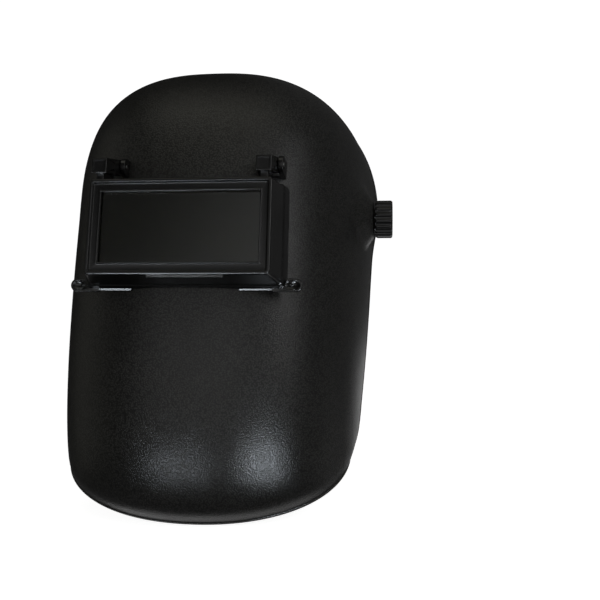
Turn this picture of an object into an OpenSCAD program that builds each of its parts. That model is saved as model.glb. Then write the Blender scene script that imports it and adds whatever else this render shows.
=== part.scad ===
// Flip-front welding helmet: one-piece moulded shell, fixed lens frame, hinged filter cover,
// tilting headgear with a side friction knob and a ratchet nape band.
// Millimetres. +Z up, the front faces -Y, +X is the wearer's left.
// The origin is the middle of the axis the shell tilts about.

/* [Shell] */
// Wall thickness of the moulded shell
shell_wall = 2.2; // [1.6:0.1:3.5]
// Rows of facets from the chin edge to the crown edge
shell_rows = 38; // [16:2:60]
// Columns of facets from one side rim to the other
shell_cols = 44; // [16:2:60]
// Radius of the flat pad inside each tilt hole
boss_r = 15.5; // [12:0.5:22]
// Radius of the flat top of the swelling under the knob
swell_r = 13.6; // [10:0.1:15]

/* [Lens box] */
// How far the rim plane stands in front of the tilt axis
box_y = -128.5; // [-140:0.5:-115]
// Height of the rim plane's centre against the tilt axis
box_z = -14.3; // [-40:0.1:20]
// Backward lean of the lens box, in degrees
box_lean = 9.5; // [0:0.5:20]
// Width of the cover's front rim
rim_w = 118; // [110:0.5:140]
// Height of the cover's front rim
rim_h = 62; // [58:0.5:80]
// Depth of the cover's side walls
cover_depth = 25.8; // [20:0.1:32]
// Wall thickness of the cover
cover_wall = 1.8; // [1.2:0.1:3]
// Width of a standard filter plate
plate_w = 108; // [90:0.5:114]
// Height of a standard filter plate
plate_h = 50.8; // [40:0.1:60]
// Thickness of the dark filter plate
filter_t = 3; // [2:0.1:4]

/* [Cover hinge] */
// Side of the square hinge posts
post_s = 10; // [6:0.1:12]
// Distance from the middle of the cover to a post's middle
post_x = 53.2; // [40:0.1:56]
// Depth of the hinge axis behind the rim plane
hinge_y = 28.2; // [24:0.1:34]
// Height of the hinge axis above the middle of the rim
hinge_z = 47.5; // [44:0.1:52]
// Radius of the hinge pins
hinge_pin_r = 1.5; // [1:0.1:2.5]

/* [Tilt knob] */
// Diameter of the side knob
knob_d = 28.4; // [20:0.1:40]
// Distance from the middle of the helmet to the knob's outer face
knob_x = 131; // [124:0.5:140]
// Scallops round the knob
knob_flutes = 18; // [6:1:24]
// Radius of the tilt studs
stud_r = 3; // [2:0.1:4]
// Tilt travel of the shell, in degrees
tilt_travel = 55; // [30:1:60]

/* [Headgear] */
// Inner half width of the headband
band_r = 78; // [70:0.5:84]
// Thickness of the headband strap
band_t = 1.6; // [1:0.1:3]
// Height of the headband strap
band_h = 24; // [16:1:32]
// Backward slope of the headgear, in degrees
band_slope = 10; // [0:1:20]
// Travel of the nape band
nape_travel = 15; // [5:1:20]
// Diameter of the ratchet knob
ratchet_d = 34; // [24:1:44]

/* [Part] */

/* [Hidden] */
$fn = 64;
black = [0.07, 0.07, 0.075];
dark = [0.10, 0.10, 0.11];
steel = [0.62, 0.63, 0.65];

// ---- shell surface -------------------------------------------------------------------------
// Section rows from the chin edge to the crown edge: middle line (y, z), side rim (y, z),
// half width, and how square the section is.
mid_line = [[-93.5, -210], [-111.5, -194], [-120, -162], [-119.5, -113], [-111.5, -51],
            [-97, 16], [-71.5, 73], [-30, 106], [29, 107]];
side_rim = [[-42, -172], [-21, -156.5], [-2, -131], [15, -100], [29.5, -70],
            [40.5, -44.5], [47.5, -26], [50, -12], [49, 2]];
half_width = [102, 106.5, 108.5, 110.5, 112, 113, 114, 116, 118.5];
squareness = [2.12, 2.27, 2.45, 2.5, 2.5, 2.5, 2.65, 2.6, 2.35];

// Smooth curve through a list of rows, s from 0 to 1.
function row_at(p, i) = i < 0 ? 2 * p[0] - p[1]
    : i > len(p) - 1 ? 2 * p[len(p) - 1] - p[len(p) - 2] : p[i];
function blend4(a, b, c, d, f) = 0.5 * (2 * b + (c - a) * f + (2 * a - 5 * b + 4 * c - d) * f * f
    + (3 * b - a - 3 * c + d) * f * f * f);
function curve(p, s) = let (x = min(max(s, 0), 1) * (len(p) - 1), i = min(floor(x), len(p) - 2))
    blend4(row_at(p, i - 1), row_at(p, i), row_at(p, i + 1), row_at(p, i + 2), x - i);

// A point of the shell's outer face: u runs up the shell, t from -90 to 90 across it.
function face_pt(u, t) = let (p = curve(mid_line, u), r = curve(side_rim, u),
    w = curve(half_width, u), e = 2 / curve(squareness, u),
    k = 1 - pow(abs(cos(t)), e), x = w * sign(t) * pow(abs(sin(t)), e))
    [x, p[0] + (r[0] - p[0]) * k, p[1] + (r[1] - p[1]) * k];
function unit(v) = v / norm(v);
function face_n(u, t) = let (du = 0.012, dt = 2.5,
    a = face_pt(min(u + du, 1), t) - face_pt(max(u - du, 0), t),
    b = face_pt(u, min(t + dt, 90)) - face_pt(u, max(t - dt, -90)))
    unit(cross(b, a));
function off_pt(u, t, d) = face_pt(u, t) + d * face_n(u, t);

// A closed skin between two offsets of the shell's face (positive is outwards).
module skin(d0, d1, ua, ub, ta, tb, nu, nv) {
    m = nv + 1;
    count = (nu + 1) * m;
    inner = [for (i = [0:nu]) for (j = [0:nv])
        off_pt(ua + (ub - ua) * i / nu, ta + (tb - ta) * j / nv, d0)];
    outer = [for (i = [0:nu]) for (j = [0:nv])
        off_pt(ua + (ub - ua) * i / nu, ta + (tb - ta) * j / nv, d1)];
    quads = [for (i = [0:nu - 1]) for (j = [0:nv - 1])
        [i * m + j, i * m + j + 1, (i + 1) * m + j + 1, (i + 1) * m + j]];
    outer_tris = [for (q = quads) each [[q[0] + count, q[2] + count, q[1] + count],
                                        [q[0] + count, q[3] + count, q[2] + count]]];
    inner_tris = [for (q = quads) each [[q[0], q[1], q[2]], [q[0], q[2], q[3]]]];
    loop = concat([for (j = [0:nv - 1]) j], [for (i = [0:nu - 1]) i * m + nv],
                  [for (j = [nv:-1:1]) nu * m + j], [for (i = [nu:-1:1]) i * m]);
    n = len(loop);
    edge_tris = [for (k = [0:n - 1]) let (a = loop[k], b = loop[(k + 1) % n])
        each [[a, a + count, b + count], [a, b + count, b]]];
    polyhedron(concat(inner, outer), concat(outer_tris, inner_tris, edge_tris));
}

// The stretch of the shell behind the lens box.
module box_skin(d0, d1, nu = 16, nv = 26) {
    skin(d0, d1, 0.42, 0.74, -44, 44, nu, nv);
}

// ---- lens box frame: x across, y back from the rim plane, z up the leaning face --------------
module in_box() {
    translate([0, box_y, box_z]) rotate([-box_lean, 0, 0]) children();
}

module slab(x0, x1, y0, y1, z0, z1) {
    translate([x0, y0, z0]) cube([x1 - x0, y1 - y0, z1 - z0]);
}

module frame_slab(w, h, y0, y1) {
    slab(-w / 2, w / 2, y0, y1, -h / 2, h / 2);
}

// Rounded rectangular loft through sections [y, half width, low z, high z, corner radius].
function corner_pts(s, cx, cz, a0, n) = [for (i = [0:n]) let (a = a0 + 90 * i / n)
    [cx + s[4] * cos(a), s[0], cz + s[4] * sin(a)]];
function section_pts(s, n) = concat(
    corner_pts(s, s[1] - s[4], s[3] - s[4], 0, n), corner_pts(s, s[4] - s[1], s[3] - s[4], 90, n),
    corner_pts(s, s[4] - s[1], s[2] + s[4], 180, n), corner_pts(s, s[1] - s[4], s[2] + s[4], 270, n));
module loft(sections, n = 4) {
    m = 4 * (n + 1);
    last = len(sections) - 1;
    pts = [for (s = sections) each section_pts(s, n)];
    sides = [for (k = [0:last - 1]) for (j = [0:m - 1]) let (a = k * m + j, b = k * m + (j + 1) % m)
        each [[a, b, b + m], [a, b + m, a + m]]];
    polyhedron(pts, concat(sides, [[for (j = [m - 1:-1:0]) j]], [[for (j = [0:m - 1]) last * m + j]]));
}

module x_cyl(r, x0, x1, y = 0, z = 0) {
    translate([min(x0, x1), y, z]) rotate([0, 90, 0]) cylinder(r = r, h = abs(x1 - x0));
}

module y_cyl(r, y0, y1, x = 0, z = 0) {
    translate([x, y0, z]) rotate([-90, 0, 0]) cylinder(r = r, h = y1 - y0);
}

module rod(a, b, r) {
    v = b - a;
    translate(a) rotate([0, acos(v[2] / norm(v)), atan2(v[1], v[0])]) cylinder(r = r, h = norm(v));
}

// ---- shell group ---------------------------------------------------------------------------
boss_in = 104.2;
boss_out = 117.2;
swell_foot_x = 103.5;
swell_foot_r = 31;
cap_floor = 107;
cap_r = 9;
frame_w = 114;
frame_h = 57;
frame_front = 13.5;
frame_gap = 0.4;
stop_r = 11.5;
peg_r = 1.8;
groove_w = 4.4;
nut_x = 22;
nut_z = 33.2;
nut_y_top = 32.6;
nut_y_low = 28.8;
nut_t = 0.9;
frame_pin_r = 1.6;
frame_pin_top_y = 28;
frame_pin_low_y = 24.8;
frame_pin_end = 2;
frame_pin_low_end = 2.4;

// The stretch of the shell round the pivot on the knob's side.
module pivot_skin(d0, d1) {
    skin(d0, d1, 0.6, 0.9, 40, 90, 14, 16);
}

// Both sides have a flat pad inside that runs into the wall. The knob's side also swells out to
// the knob; the other side has a flush cap in a round recess.
module tilt_boss_left() {
    x_cyl(boss_r, boss_in, boss_out - 4);
    difference() {
        translate([swell_foot_x, 0, 0]) rotate([0, 90, 0])
            cylinder(r1 = swell_foot_r, r2 = swell_r, h = boss_out - swell_foot_x);
        pivot_skin(-14, -1.1);
    }
}

module tilt_boss_right() {
    difference() {
        x_cyl(boss_r, -boss_in, -114);
        mirror([1, 0, 0]) pivot_skin(-0.8, 14);
    }
}

// Blind arc in a boss's inner face that the headgear's stop peg runs in.
module stop_groove(s) {
    steps = 11;
    for (i = [0:steps]) let (a = -3 + (tilt_travel + 6) * i / steps)
        x_cyl(groove_w / 2, s * (boss_in - 1), s * (boss_in + 2.2),
              stop_r * sin(a), -stop_r * cos(a));
}

module shell() {
    color(black) difference() {
        union() {
            skin(-shell_wall, 0, 0, 1, -90, 90, shell_rows, shell_cols);
            tilt_boss_left();
            tilt_boss_right();
            in_box() for (s = [-1, 1]) {
                y_cyl(frame_pin_r, frame_pin_top_y, nut_y_top + frame_pin_end, s * nut_x, nut_z);
                y_cyl(frame_pin_r, frame_pin_low_y, nut_y_low + frame_pin_low_end, s * nut_x, -nut_z);
            }
        }
        in_box() frame_slab(frame_w + 2 * frame_gap, frame_h + 2 * frame_gap, 5, 60);
        in_box() for (s = [-1, 1]) y_cyl(1.7, 20, 60, s * post_x, hinge_z);
        for (s = [-1, 1]) {
            x_cyl(stud_r + 0.08, s * 95, s * 125);
            stop_groove(s);
        }
        x_cyl(cap_r + 1.3, -cap_floor, -125);
    }
}

module lens_frame() {
    wall = 2.2;
    color(black) difference() {
        union() {
            in_box() difference() {
                loft([[frame_front, frame_w / 2 - 1.2, -frame_h / 2 + 1.2, frame_h / 2 - 1.2, 2],
                      [frame_front + 1.2, frame_w / 2, -frame_h / 2, frame_h / 2, 3],
                      [48, frame_w / 2, -frame_h / 2, frame_h / 2, 3]]);
                translate([0, 27.2 + 136, -60]) cylinder(r = 136, h = 120, $fn = 128);
            }
            intersection() {
                box_skin(-3.8, -2.35);
                in_box() for (s = [-1, 1])
                    slab(-50, 50, 10, 60, s > 0 ? 26.8 : -37, s > 0 ? 37 : -26.8);
            }
        }
        in_box() {
            frame_slab(frame_w - 2 * wall, frame_h - 2 * wall, frame_front + 2.4, 60);
            frame_slab(90, 43, 0, 30);
            for (s = [-1, 1]) {
                y_cyl(1.9, 20, 45, s * nut_x, nut_z);
                y_cyl(1.9, 20, 45, s * nut_x, -nut_z);
            }
        }
    }
}

module push_nut(x, y, z) {
    difference() {
        y_cyl(4, y, y + nut_t, x, z);
        y_cyl(frame_pin_r + 0.02, y - 1, y + 2, x, z);
    }
}

module frame_push_nuts() {
    color(steel) in_box() for (s = [-1, 1]) {
        push_nut(s * nut_x, nut_y_top, nut_z);
        push_nut(s * nut_x, nut_y_low, -nut_z);
    }
}

module clear_plate() {
    color([0.75, 0.8, 0.85, 0.4]) in_box() frame_slab(plate_w, plate_h, frame_front + 2.5, frame_front + 4.5);
}

// Wire frame that keeps a plate against its seat.
module wire_frame(w, h, y, r) {
    for (s = [-1, 1]) {
        rod([-w / 2, y, s * h / 2], [w / 2, y, s * h / 2], r);
        rod([s * w / 2, y, -h / 2], [s * w / 2, y, h / 2], r);
        for (q = [-1, 1]) translate([s * w / 2, y, q * h / 2]) sphere(r = r);
    }
}

module clear_plate_spring() {
    color(steel) in_box() wire_frame(104, 48, frame_front + 5.7, 0.9);
}

cheek_in = post_s / 2 + 0.3;
cheek_t = 3.2;
cheek_h = 6.1;
cheek_y = hinge_y - 4.6;
cheek_round = 5.9;
base_y = hinge_y + 5.7;

// Side plate of a bracket: a block with rounded front corners.
module cheek(x0, x1) {
    slab(x0, x1, cheek_y + cheek_round, 44, hinge_z - cheek_h, hinge_z + cheek_h);
    slab(x0, x1, cheek_y, 44, hinge_z - cheek_h + cheek_round, hinge_z + cheek_h - cheek_round);
    for (q = [-1, 1])
        x_cyl(cheek_round, x0, x1, cheek_y + cheek_round, hinge_z + q * (cheek_h - cheek_round));
}

module hinge_bracket(s) {
    color(black) difference() {
        in_box() translate([s * post_x, 0, 0]) {
            cheek(-cheek_in - cheek_t, -cheek_in);
            cheek(cheek_in, cheek_in + cheek_t);
            slab(-cheek_in - 0.1, cheek_in + 0.1, base_y, 44, hinge_z - cheek_h, hinge_z + cheek_h);
        }
        box_skin(-14, 0.15);
        in_box() x_cyl(hinge_pin_r + 0.02, s * (post_x - 12), s * (post_x + 12), hinge_y, hinge_z);
        in_box() y_cyl(1.25, base_y + 0.9, 60, s * post_x, hinge_z);
    }
}

screw_in = 42.8;
module bracket_screws() {
    color(steel) in_box() for (s = [-1, 1]) {
        y_cyl(1.2, base_y + 1.2, screw_in, s * post_x, hinge_z);
        y_cyl(2.7, screw_in, screw_in + 1.8, s * post_x, hinge_z);
    }
}

module hinge_pin(s) {
    color(steel) in_box() x_cyl(hinge_pin_r, s * (post_x - cheek_in - cheek_t - 0.2),
        s * (post_x + cheek_in + cheek_t + 0.2), hinge_y, hinge_z);
}

// Friction leaf between the cheeks, just under the back of the post's round end.
module hinge_leaf(s) {
    color(steel) in_box() slab(s * post_x - 5.2, s * post_x + 5.2, hinge_y + 0.7, base_y - 0.02,
        hinge_z - 5.8, hinge_z - 5.3);
}

// ---- flip cover ----------------------------------------------------------------------------
cover_out = [[0, rim_w / 2 - 0.7, -rim_h / 2 + 0.7, rim_h / 2 - 0.7, 2],
             [0.7, rim_w / 2, -rim_h / 2, rim_h / 2, 2.6],
             [18.4, rim_w / 2 + 4.6, -rim_h / 2 - 3, rim_h / 2 + 0.6, 3.4],
             [18.9, rim_w / 2 + 5.4, -rim_h / 2 - 3.8, rim_h / 2 + 1, 3.8],
             [cover_depth, rim_w / 2 + 7.5, -rim_h / 2 - 5, rim_h / 2 + 1.4, 4.6]];
// The cavity: the outer sections one wall smaller, starting behind the glass.
function inset(s, d, y) = [y, s[1] - d, s[2] + d, s[3] - d, max(s[4] - d, 0.8)];
cavity_y = 3.8;
rib_in = [plate_w / 2 + 0.4, plate_h / 2 + 0.4];

post_z = rim_h / 2 + 4 + post_s / 2 - 0.25;

// The posts slope up from the front face to the round end on the hinge pin.
module cover_post(s) {
    cx = s * post_x;
    h = post_s / 2;
    lean = atan2(hinge_z - post_z, hinge_y);
    difference() {
        union() {
            translate([cx - h, 0, 0]) rotate([90, 0, 90]) linear_extrude(post_s)
                polygon([[0, post_z - h], [0, post_z + h],
                         [hinge_y - h * sin(lean), hinge_z + h * cos(lean)],
                         [hinge_y + h * sin(lean), hinge_z - h * cos(lean)]]);
            x_cyl(h, cx - h, cx + h, hinge_y, hinge_z);
            translate([cx - 2.4, 0, 0]) rotate([90, 0, 90]) linear_extrude(4.8)
                polygon([[3, rim_h / 2 - 1], [3, post_z], [21.6, hinge_z - 4], [21.6, rim_h / 2 - 1]]);
        }
        slab(cx - h + 1.4, cx + h - 1.4, -1, 0.9, post_z - h + 1.4, post_z + h - 1.4);
        x_cyl(hinge_pin_r + 0.08, cx - 9, cx + 9, hinge_y, hinge_z);
    }
}

ear_x = rim_w / 2 + 13;
ear_z = -rim_h / 2 - 2.4;
ear_r = 4.3;
bowl_x = rim_w / 2 + 10.9;
bowl_r = 4.1;
bowl_stretch = 1.55;
bowl_back = 2.6;
pip_r = 1.2;
module cover_ear(s) {
    x0 = rim_w / 2 - 2;
    front = cover_depth - 2.8;
    difference() {
        union() {
            slab(min(s * x0, s * ear_x), max(s * x0, s * ear_x), front, cover_depth,
                 ear_z - ear_r, ear_z + ear_r);
            y_cyl(ear_r, front, cover_depth, s * ear_x, ear_z);
        }
        translate([s * bowl_x, front - bowl_back, ear_z]) scale([bowl_stretch, 1, 1])
            sphere(r = bowl_r, $fn = 40);
    }
    y_cyl(pip_r, front + 0.5, cover_depth - 0.4, s * (bowl_x - 1.7), ear_z + 0.5);
}

// Strip along the foot of the lower wall; its front face leans down.
module flange_strip(s) {
    front = cover_depth - 2.8;
    top = -rim_h / 2 - 3.4;
    translate([s > 0 ? 35.5 : -63, 0, 0]) rotate([90, 0, 90]) linear_extrude(27.5)
        polygon([[front - 0.4, top], [cover_depth, top], [cover_depth, top - 2.6], [front + 0.6, top - 2.6]]);
}

win_w = 102.4;
win_h = 45.4;
module flip_cover() {
    d = cover_wall;
    color(black) difference() {
        in_box() {
            difference() {
                loft(cover_out);
                loft([inset(cover_out[1], d, cavity_y), inset(cover_out[2], d, 18.9),
                      inset(cover_out[3], d, 19.4), inset(cover_out[4], d, cover_depth + 0.05)]);
                difference() {
                    loft([[-0.1, rim_w / 2 - 2.2, -rim_h / 2 + 2.2, rim_h / 2 - 2.2, 1.6],
                          [2, rim_w / 2 - 2.9, -rim_h / 2 + 2.9, rim_h / 2 - 2.9, 1.2]]);
                    frame_slab(win_w + 2.2, win_h + 2.2, 1.2, 3);
                }
                frame_slab(win_w, win_h, -1, 6);
            }
            difference() {
                frame_slab(2 * rib_in[0] + 3, 2 * rib_in[1] + 3, cavity_y - 0.4, 10.8);
                frame_slab(2 * rib_in[0], 2 * rib_in[1], 0, 12);
            }
            for (s = [-1, 1]) {
                cover_post(s);
                cover_ear(s);
                flange_strip(s);
            }
            slab(-19, 30, 0.8, 3, -rim_h / 2 - 1.6, -rim_h / 2 + 0.5);
        }
        box_skin(-14, 1.2);
    }
}

module cover_plate() {
    color([0.7, 0.75, 0.75, 0.4]) in_box() frame_slab(plate_w, plate_h, 4, 5.5);
}

module filter_plate() {
    color([0.05, 0.07, 0.06]) in_box() frame_slab(plate_w, plate_h, 5.7, 5.7 + filter_t);
}

module filter_spring() {
    color(steel) in_box() wire_frame(104, 48, 9.9, 0.9);
}

// ---- tilt joint ----------------------------------------------------------------------------
washer_out_x = boss_out + 0.15;
knob_in_x = 118.2;
arm_x = 100;
arm_t = 2.4;
bore_end = 128.5;

module ring_x(r_out, r_in, s, x0, x1) {
    difference() {
        x_cyl(r_out, s * x0, s * x1);
        x_cyl(r_in, s * (x0 - 1), s * (x1 + 1));
    }
}

module tilt_washer_outer() {
    color(dark) ring_x(7.5, stud_r + 0.08, 1, washer_out_x, knob_in_x - 0.15);
}

module tilt_washer_inner(s) {
    color(dark) ring_x(8, stud_r + 0.08, s, arm_x + arm_t + 0.15, boss_in - 0.15);
}

skirt_h = 1.6;
flute_r = 1.5;
module tilt_knob() {
    r = knob_d / 2;
    color(black) difference() {
        union() {
            translate([knob_in_x, 0, 0]) rotate([0, 90, 0]) cylinder(r1 = r - 1, r2 = r, h = skirt_h);
            x_cyl(r, knob_in_x + skirt_h, knob_x - 1);
            translate([knob_x - 1, 0, 0]) rotate([0, 90, 0]) cylinder(r1 = r, r2 = r - 1, h = 1);
        }
        for (i = [0:knob_flutes - 1]) let (a = 360 * i / knob_flutes)
            x_cyl(flute_r, knob_in_x - 0.5, knob_x + 1, (r + 0.4) * cos(a), (r + 0.4) * sin(a));
        x_cyl(r - 3.4, knob_x - 0.8, knob_x + 1);
        x_cyl(stud_r + 0.08, knob_in_x - 1, bore_end);
    }
}

module tilt_cap() {
    color(black) difference() {
        union() {
            x_cyl(cap_r, -cap_floor - 0.3, -cap_floor - 1.6);
            translate([-cap_floor - 1.6, 0, 0]) rotate([0, -90, 0])
                cylinder(r1 = cap_r, r2 = cap_r - 1.2, h = 0.9);
        }
        x_cyl(stud_r + 0.03, -100, -cap_floor - 1.7);
    }
}

module tilt_stud(s) {
    end = s > 0 ? bore_end - 1 : cap_floor + 1.6;
    color(steel) {
        x_cyl(7.5, s * (arm_x - 3.1), s * (arm_x - 0.1));
        translate([s > 0 ? arm_x - 0.1 : -arm_x - arm_t + 0.2, -stud_r, -stud_r])
            cube([arm_t - 0.1, 2 * stud_r, 2 * stud_r]);
        x_cyl(stud_r, s * (arm_x + arm_t - 0.3), s * end);
    }
}

// ---- headgear: drawn level, then sloped back ---------------------------------------------------
module in_band() {
    rotate([-band_slope, 0, 0]) children();
}

band_z = 10;
front_c = -4;
rear_c = 28;
band_end = 42;
strap_gap = 0.4;
strap_t = 1.5;
pad_gap = 0.4;
slider_y = 14.5;
strap_z = 22;

module ring2(c, r_in, r_out) {
    translate([0, c]) difference() {
        circle(r = r_out, $fn = 128);
        circle(r = r_in, $fn = 128);
    }
}

module headband() {
    color(dark) in_band() difference() {
        translate([0, 0, band_z]) linear_extrude(band_h) {
            intersection() {
                ring2(front_c, band_r, band_r + band_t);
                translate([-100, front_c - 100]) square([200, 100]);
            }
            for (s = [-1, 1]) translate([s > 0 ? band_r : -band_r - band_t, front_c - 0.5])
                square([band_t, band_end - front_c + 0.5]);
        }
        for (s = [-1, 1]) {
            x_cyl(2.05, s * 70, s * 90, slider_y, strap_z);
            x_cyl(1.55, s * 70, s * 90, -3, 25);
            for (z = [17, 27]) {
                x_cyl(1.55, s * 70, s * 90, 32, z);
                translate([0, front_c, z]) rotate([0, 0, s > 0 ? -36 : 216]) x_cyl(1.55, 70, 90);
            }
        }
    }
}

module sweatband() {
    color([0.16, 0.16, 0.17]) in_band() translate([0, 0, 7]) linear_extrude(30) intersection() {
        ring2(front_c, band_r - 5.4, band_r - pad_gap);
        polygon([[0, front_c], [-120, front_c - 84], [-120, -130], [120, -130], [120, front_c - 84]]);
    }
}

// Plan outline of an arm on the left side: front pad, strut, pivot plate, strut, rear pad.
module arm_plan() {
    x0 = band_r + band_t + 0.3;
    x1 = x0 + 2.2;
    xa = arm_x;
    xb = arm_x + arm_t;
    a = 28;
    intersection() {
        ring2(front_c, x0, x1);
        polygon([[0, front_c], [150 * cos(a), front_c - 150 * sin(a)],
                 [150 * cos(46), front_c - 150 * sin(46)]]);
    }
    polygon([[x0 * cos(a + 1), front_c - x0 * sin(a + 1)], [x1 * cos(a + 1), front_c - x1 * sin(a + 1)],
             [xb, -14.5], [xa, -13.5], [x0 * cos(a - 3), front_c - x0 * sin(a - 3)]]);
    translate([xa, -14.5]) square([xb - xa, 29]);
    polygon([[xa, 13.5], [xb, 14.5], [x1, 25], [x0, 25], [x0, 22.5]]);
    translate([x0, 24.5]) square([x1 - x0, 15.5]);
}

module arm_side() {
    circle(r = 14.5);
    polygon([[-64, 31], [-42, 31], [-10, 10], [10, 10], [22, 31], [42, 31], [42, 13], [27, 13],
             [13, -6], [-13, -6], [-42, 13], [-64, 13]]);
}

module side_arm(s) {
    color(dark) in_band() mirror([s < 0 ? 1 : 0, 0, 0]) {
        difference() {
            intersection() {
                translate([0, 0, -16]) linear_extrude(50) arm_plan();
                translate([50, 0, 0]) rotate([90, 0, 90]) linear_extrude(70) arm_side();
            }
            translate([arm_x - 1, 0, 0]) rotate([band_slope, 0, 0])
                translate([0, -stud_r - 0.05, -stud_r - 0.05])
                cube([arm_t + 2, 2 * stud_r + 0.1, 2 * stud_r + 0.1]);
            for (z = [17, 27]) {
                x_cyl(1.55, 70, 95, 32, z);
                translate([0, front_c, z]) rotate([0, 0, -36]) x_cyl(1.55, 70, 95);
            }
        }
        rotate([band_slope, 0, 0]) translate([arm_x + arm_t - 0.2, 0, -stop_r]) rotate([0, 90, 0])
            cylinder(r = peg_r, h = 3.7);
    }
}

module rivet(x0, x1, y, z) {
    x_cyl(1.5, x0, x1, y, z);
    x_cyl(2.8, x1, x1 + 1, y, z);
}

module band_rivets() {
    x0 = band_r + 0.02;
    x1 = band_r + band_t + 2.5;
    color(steel) in_band() for (s = [-1, 1]) mirror([s < 0 ? 1 : 0, 0, 0]) {
        for (z = [17, 27]) {
            rivet(x0, x1, 32, z);
            translate([0, front_c, 0]) rotate([0, 0, -36]) rivet(x0, x1, 0, z);
        }
        rivet(x0, band_r + band_t + 1.8, -3, 25);
    }
}

module slider_rivets() {
    color(steel) in_band() for (s = [-1, 1]) mirror([s < 0 ? 1 : 0, 0, 0]) {
        x_cyl(2, band_r - strap_gap - strap_t - 1, band_r + band_t + 0.6, slider_y, strap_z);
        x_cyl(4, band_r - strap_gap - strap_t - 1.2, band_r - strap_gap - strap_t - 0.2, slider_y, strap_z);
        x_cyl(3.4, band_r + band_t + 0.2, band_r + band_t + 1.1, slider_y, strap_z);
    }
}

strap_x = band_r + band_t + 0.2;
crown_z = 36;
crown_rise = 55.3;
function crown_pt(a, rx, rz) = [rx * sign(cos(a)) * pow(abs(cos(a)), 0.9),
    crown_z + rz * pow(abs(sin(a)), 0.9)];
module crown_ribbon(t, lift, a1) {
    n = 26;
    polygon(concat([[strap_x + t, 16]],
        [for (i = [0:n]) crown_pt(a1 * i / n, strap_x + t, crown_rise + lift + t)],
        [for (i = [n:-1:0]) crown_pt(a1 * i / n, strap_x, crown_rise + lift)],
        [[strap_x, 16]]));
}

module crown_strap(s) {
    color(dark) in_band() mirror([s < 0 ? 1 : 0, 0, 0]) difference() {
        union() {
            translate([0, 6, 0]) rotate([90, 0, 0]) linear_extrude(18)
                crown_ribbon(1.4, s > 0 ? 0 : 1.7, 106);
            if (s > 0) translate([0, -3, crown_z + crown_rise + 0.5]) {
                cylinder(r = 2, h = 4.1);
                translate([0, 0, 3]) cylinder(r = 3, h = 1.6);
            }
        }
        x_cyl(1.55, 70, 95, -3, 25);
        if (s < 0) for (i = [-1:1])
            translate([9 * i, -3, crown_z + crown_rise - 4]) cylinder(r = 2.3, h = 12);
    }
}

module nape_band() {
    r1 = band_r - strap_gap;
    r0 = r1 - strap_t;
    color(dark) in_band() difference() {
        intersection() {
            translate([0, 0, -20]) linear_extrude(60) {
                intersection() {
                    ring2(rear_c, r0, r1);
                    translate([-100, rear_c]) square([200, 100]);
                }
                for (s = [-1, 1]) translate([s > 0 ? r0 : -r1, 8.5]) square([strap_t, rear_c - 8.5 + 0.5]);
            }
            translate([-120, 0, 0]) rotate([90, 0, 90]) linear_extrude(240)
                polygon([[6, 14], [6, 30], [46, 30], [60, 25], [78, 14], [90, 11], [110, 10.5],
                         [110, -12.5], [84, -12.5], [72, -10], [58, 2], [44, 14]]);
        }
        for (s = [-1, 1]) {
            x_cyl(2.3, s * 70, s * 85, slider_y, strap_z);
            x_cyl(2.3, s * 70, s * 85, slider_y + nape_travel, strap_z);
            slab(s > 0 ? 70 : -85, s > 0 ? 85 : -70, slider_y, slider_y + nape_travel,
                 strap_z - 2.3, strap_z + 2.3);
        }
    }
}

module nape_pad() {
    r1 = band_r - strap_gap - strap_t - pad_gap;
    color([0.16, 0.16, 0.17]) in_band() translate([0, 0, -11]) linear_extrude(20) intersection() {
        ring2(rear_c, r1 - 4, r1);
        polygon([[0, rear_c], [-60, 150], [60, 150]]);
    }
}

knob_z = -1;
case_y = 114.4;
ratchet_flutes = 16;
ratchet_flute_r = 1.9;
pinion_teeth = 12;
pinion_y = 107.6;
pinion_len = 3.8;
pinion_shaft_r = 4;
module ratchet_case() {
    color(dark) in_band() difference() {
        union() {
            slab(-30, 30, 99, case_y, knob_z - 11.5, knob_z + 11.5);
            for (s = [-1, 1]) y_cyl(11.5, 99, case_y, s * 30, knob_z);
        }
        translate([0, rear_c, -30]) cylinder(r = band_r - strap_gap + 0.15, h = 60, $fn = 128);
        slab(-26, 26, 99, case_y - 1.6, knob_z - 8, knob_z + 8);
        y_cyl(9.2, 99, case_y - 1.6, 0, knob_z);
        y_cyl(pinion_shaft_r + 0.08, 100, 130, 0, knob_z);
    }
}

module ratchet_spring() {
    color(steel) in_band() difference() {
        y_cyl(8.6, case_y - 2.6, case_y - 1.75, 0, knob_z);
        y_cyl(5.6, 100, 130, 0, knob_z);
    }
}

module ratchet_knob() {
    r = ratchet_d / 2;
    color(black) in_band() difference() {
        union() {
            y_cyl(r, case_y + 0.5, case_y + 12, 0, knob_z);
            y_cyl(r - 1.4, case_y + 12, case_y + 13.4, 0, knob_z);
            y_cyl(pinion_shaft_r, pinion_y - 0.2, case_y + 1, 0, knob_z);
        }
        for (i = [0:ratchet_flutes - 1]) let (a = 360 * i / ratchet_flutes)
            y_cyl(ratchet_flute_r, case_y, case_y + 15,
                  (r + 0.7) * cos(a), knob_z + (r + 0.7) * sin(a));
        y_cyl(r - 5, case_y + 10.5, case_y + 15, 0, knob_z);
    }
}

module ratchet_pinion() {
    color(steel) in_band() difference() {
        union() {
            y_cyl(5, pinion_y, pinion_y + pinion_len, 0, knob_z);
            for (i = [0:pinion_teeth - 1])
                translate([0, 0, knob_z]) rotate([0, 360 * i / pinion_teeth, 0])
                    slab(-0.9, 0.9, pinion_y, pinion_y + pinion_len, 4, 6.6);
        }
        y_cyl(pinion_shaft_r + 0.02, 100, 130, 0, knob_z);
    }
}

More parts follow.
